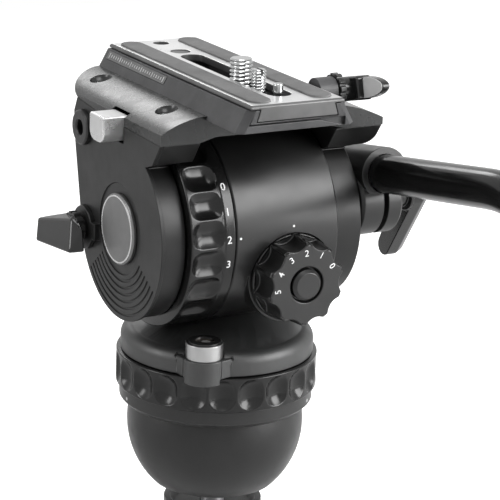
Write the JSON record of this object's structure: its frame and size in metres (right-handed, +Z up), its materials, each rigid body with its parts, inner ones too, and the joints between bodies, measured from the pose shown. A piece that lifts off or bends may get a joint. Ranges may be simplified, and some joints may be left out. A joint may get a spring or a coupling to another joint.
{
  "type": "fluid video head",
  "caption": "Fluid pan and tilt head for a video camera, with half-ball base, tilt drum, drag rings, sliding camera plate, locking levers and a bent pan bar.",
  "frame": {"origin": "centre of the half ball, at the height of the bowl's rim", "axes": "+Z up, +X to the side that carries the pan bar, +Y to the front of the head, away from the operator; the tilt axis is parallel to X"},
  "size_m": [0.1467, 0.4402, 0.23],
  "materials": {
    "satin_black_metal": "satin black paint",
    "side_cover_black": "fine textured black",
    "ball_metal": "anodised",
    "knob_plastic": "matte black",
    "ring_plastic": "matte black",
    "lever_plastic": "matte black",
    "collar_black": "black",
    "plate_black": "black anodised",
    "steel": "machined",
    "cartridge_aluminium": "machined",
    "bright_aluminium": "turned",
    "bezel_black": "gloss black",
    "level_glass": "clear",
    "button_silver": "silver",
    "scale_grey": "printed strip",
    "pad_rubber": "rubber",
    "grip_rubber": "foam rubber",
    "bar_black": "gloss black"
  },
  "bodies": {
    "base": {"half_ball": "ball_metal", "base_collar": "satin_black_metal", "base_screws": "steel", "pan_axle": "steel", "axle_nut": "steel", "pan_drag_cartridge": "cartridge_aluminium", "tie_down_stud": "steel"},
    "tie_down_knob": {"tie_down_knob": "knob_plastic", "tie_down_washer": "ball_metal"},
    "pan_ring": {"pan_drag_ring": "ring_plastic"},
    "pan": {"pan_housing": "satin_black_metal", "level_guard": "satin_black_metal", "pan_bearing": "steel", "level_cup": "bright_aluminium", "level_vial": "level_glass", "level_bezel": "bezel_black", "tilt_drum": "satin_black_metal", "drum_end_cover": "satin_black_metal", "tilt_bearings": "steel", "tilt_drag_cartridge": "cartridge_aluminium"},
    "pan_lock": {"pan_lock_collar": "collar_black", "pan_lock_lever": "lever_plastic"},
    "tilt_ring": {"tilt_drag_ring": "ring_plastic"},
    "balance_knob": {"counterbalance_knob": "knob_plastic", "knob_cap": "knob_plastic", "knob_spindle": "steel"},
    "cradle": {"left_arm": "satin_black_metal", "left_bracket": "satin_black_metal", "left_side_cover": "side_cover_black", "badge_disc": "bright_aluminium", "right_arm": "satin_black_metal", "right_cap": "satin_black_metal", "cradle_platform": "satin_black_metal", "platform_screws": "steel", "plate_receiver": "satin_black_metal", "scale_strip": "scale_grey", "accessory_socket": "bright_aluminium", "tilt_axle": "steel", "spring_hub": "steel", "counterbalance_springs": "steel", "button_spring": "steel", "clamp_bolt": "steel"},
    "tilt_lock": {"tilt_lock_collar": "collar_black", "tilt_lock_lever": "lever_plastic"},
    "release": {"release_button": "button_silver"},
    "plate_lock": {"plate_lock_collar": "collar_black", "plate_lock_lever": "lever_plastic"},
    "jaw": {"plate_jaw": "plate_black"},
    "plate": {"camera_plate": "plate_black", "plate_pads": "pad_rubber", "captive_screw": "steel"},
    "carrier": {"screw_carrier": "steel"},
    "large_screw": {"large_camera_screw": "steel"},
    "small_screw": {"small_camera_screw": "steel"},
    "video_pin": {"video_pin": "steel"},
    "handle": {"bar_clamp": "satin_black_metal", "pan_bar": "bar_black", "bar_grip": "grip_rubber", "bar_end_cap": "knob_plastic"},
    "clamp_lever": {"clamp_lever": "lever_plastic"}
  },
  "joints": [
    {"name": "tie_down_turn", "type": "hinge", "parent": "base", "child": "tie_down_knob", "pos_m": [0, 0, -0.05], "axis": [0, 0, 1], "continuous": true},
    {"name": "pan_drag_turn", "type": "hinge", "parent": "base", "child": "pan_ring", "pos_m": [0, 0, 0.0244], "axis": [0, 0, 1], "range_deg": [-49.1, 49.1]},
    {"name": "pan", "type": "hinge", "parent": "base", "child": "pan", "pos_m": [0, 0, 0.0368], "axis": [0, 0, 1], "continuous": true},
    {"name": "pan_lock_swing", "type": "hinge", "parent": "pan", "child": "pan_lock", "pos_m": [0.01573, 0.04323, 0.0369], "axis": [0.342, 0.9397, 0], "range_deg": [-60, 30]},
    {"name": "tilt", "type": "hinge", "parent": "pan", "child": "cradle", "pos_m": [0, 0, 0.0885], "axis": [1, 0, 0], "range_deg": [-80, 60]},
    {"name": "tilt_drag_turn", "type": "hinge", "parent": "pan", "child": "tilt_ring", "pos_m": [-0.025, 0, 0.0885], "axis": [1, 0, 0], "range_deg": [-14.7, 29.4]},
    {"name": "counterbalance_turn", "type": "hinge", "parent": "pan", "child": "balance_knob", "pos_m": [0.012, -0.046, 0.0725], "axis": [0, 1, 0], "range_deg": [-62.4, 93.6]},
    {"name": "tilt_lock_swing", "type": "hinge", "parent": "cradle", "child": "tilt_lock", "pos_m": [-0.055, 0.0315, 0.0811], "axis": [1, 0, 0], "range_deg": [-60, 45]},
    {"name": "release_press", "type": "slide", "parent": "cradle", "child": "release", "axis": [1, 0, 0], "range_m": [0, 0.004], "stiffness_N_per_m": 400, "springref_m": -0.002},
    {"name": "plate_lock_swing", "type": "hinge", "parent": "cradle", "child": "plate_lock", "pos_m": [0.035, -0.036, 0.1478], "axis": [1, 0, 0], "range_deg": [-90, 0]},
    {"name": "jaw_slide", "type": "slide", "parent": "cradle", "child": "jaw", "axis": [1, 0, 0], "range_m": [0, 0.0008]},
    {"name": "plate_slide", "type": "slide", "parent": "cradle", "child": "plate", "axis": [0, 1, 0], "range_m": [-0.035, 0.035]},
    {"name": "carrier_slide", "type": "slide", "parent": "plate", "child": "carrier", "axis": [0, 1, 0], "range_m": [-0.003, 0.038]},
    {"name": "large_screw_turn", "type": "hinge", "parent": "carrier", "child": "large_screw", "pos_m": [0, -0.014, 0.151], "axis": [0, 0, 1], "continuous": true},
    {"name": "small_screw_turn", "type": "hinge", "parent": "carrier", "child": "small_screw", "pos_m": [0, -0.0285, 0.151], "axis": [0, 0, 1], "continuous": true},
    {"name": "video_pin_sink", "type": "slide", "parent": "carrier", "child": "video_pin", "axis": [0, 0, 1], "range_m": [-0.0033, 0], "stiffness_N_per_m": 200, "springref_m": 0.002},
    {"name": "pan_bar_swing", "type": "hinge", "parent": "cradle", "child": "handle", "pos_m": [0.0579, -0.0226, 0.0966], "axis": [1, 0, 0], "range_deg": [-5, 75]},
    {"name": "clamp_lever_turn", "type": "hinge", "parent": "cradle", "child": "clamp_lever", "pos_m": [0.078, -0.0226, 0.0966], "axis": [1, 0, 0], "range_deg": [-90, 60]}
  ],
  "couplings": [
    {"joint": "jaw_slide", "follows": "plate_lock_swing", "m_per_rad": -0.0005}
  ]
}
